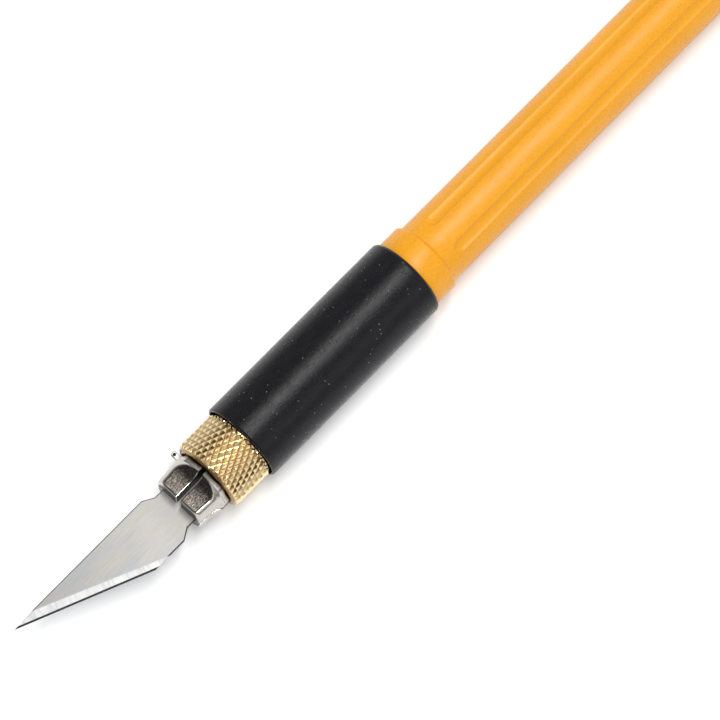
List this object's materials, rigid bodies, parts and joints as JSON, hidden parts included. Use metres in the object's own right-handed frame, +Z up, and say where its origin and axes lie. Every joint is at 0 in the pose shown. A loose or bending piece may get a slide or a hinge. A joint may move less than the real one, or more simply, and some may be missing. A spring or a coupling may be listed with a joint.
{
  "type": "hobby craft knife",
  "caption": "Pen-shaped craft knife with a pointed blade in a split-jaw chuck with a knurled nut, a rubber grip, a fluted handle and a tail cap carrying spare blades.",
  "frame": {"origin": "midway along the knife from blade tip to tail, under its axis, on the surface it rests on", "axes": "+X along the knife towards the tail, +Z up, the cutting edge towards -Y, the blade level"},
  "size_m": [0.165, 0.0134, 0.0121],
  "materials": {
    "blade_steel": "satin rolled steel with a bright ground bevel",
    "jaw_steel": "bright nickel plate with dark ground flats",
    "inner_steel": "turned",
    "ring_steel": "blackened",
    "nut_brass": "bright diamond knurl",
    "ferrule_brass": "turned",
    "grip_rubber": "satin black",
    "handle_plastic": "fine matte grain",
    "seal_rubber": "smooth",
    "rack_plastic": "smooth"
  },
  "bodies": {
    "handle": {"handle_barrel": "handle_plastic", "rubber_grip": "grip_rubber", "threaded_ferrule": "ferrule_brass", "collet_shank": "inner_steel", "cross_pin": "inner_steel"},
    "upper_spine_jaw": {"jaw_upper_spine": "jaw_steel"},
    "upper_edge_jaw": {"jaw_upper_edge": "jaw_steel"},
    "lower_spine_jaw": {"jaw_lower_spine": "jaw_steel"},
    "lower_edge_jaw": {"jaw_lower_edge": "jaw_steel"},
    "ring": {"thrust_ring": "ring_steel"},
    "nut": {"knurled_nut": "nut_brass"},
    "fitted_blade": {"blade": "blade_steel"},
    "cap": {"tail_cap": "handle_plastic", "cap_seal_ring": "seal_rubber", "blade_rack": "rack_plastic", "rack_pin": "inner_steel", "spare_straight_blade": "blade_steel", "spare_curved_blade": "blade_steel", "spare_chisel_blade": "blade_steel"}
  },
  "joints": [
    {"name": "nut_turn", "type": "hinge", "parent": "ring", "child": "nut", "pos_m": [-0.047, 0, 0.00605], "axis": [1, 0, 0], "range_deg": [0, 360]},
    {"name": "nut_travel", "type": "slide", "parent": "handle", "child": "ring", "axis": [1, 0, 0], "range_m": [0, 0.0007]},
    {"name": "upper_spine_jaw_flex", "type": "hinge", "parent": "handle", "child": "upper_spine_jaw", "pos_m": [-0.0406, 0.00184, 0.00789], "axis": [0, 0.7071, -0.7071], "range_deg": [0, 2]},
    {"name": "upper_edge_jaw_flex", "type": "hinge", "parent": "handle", "child": "upper_edge_jaw", "pos_m": [-0.0406, -0.00184, 0.00789], "axis": [0, 0.7071, 0.7071], "range_deg": [0, 2]},
    {"name": "lower_spine_jaw_flex", "type": "hinge", "parent": "handle", "child": "lower_spine_jaw", "pos_m": [-0.0406, 0.00184, 0.00421], "axis": [0, -0.7071, -0.7071], "range_deg": [0, 2]},
    {"name": "lower_edge_jaw_flex", "type": "hinge", "parent": "handle", "child": "lower_edge_jaw", "pos_m": [-0.0406, -0.00184, 0.00421], "axis": [0, -0.7071, 0.7071], "range_deg": [0, 2]},
    {"name": "blade_pull", "type": "slide", "parent": "handle", "child": "fitted_blade", "axis": [-1, 0, 0], "range_m": [0, 0.03]},
    {"name": "cap_pull", "type": "slide", "parent": "handle", "child": "cap", "axis": [1, 0, 0], "range_m": [0, 0.06]}
  ],
  "couplings": [
    {"joint": "nut_turn", "follows": "nut_travel", "rad_per_m": 8975.9},
    {"joint": "upper_spine_jaw_flex", "follows": "nut_travel", "rad_per_m": 49.866},
    {"joint": "upper_edge_jaw_flex", "follows": "nut_travel", "rad_per_m": 49.866},
    {"joint": "lower_spine_jaw_flex", "follows": "nut_travel", "rad_per_m": 49.866},
    {"joint": "lower_edge_jaw_flex", "follows": "nut_travel", "rad_per_m": 49.866}
  ]
}
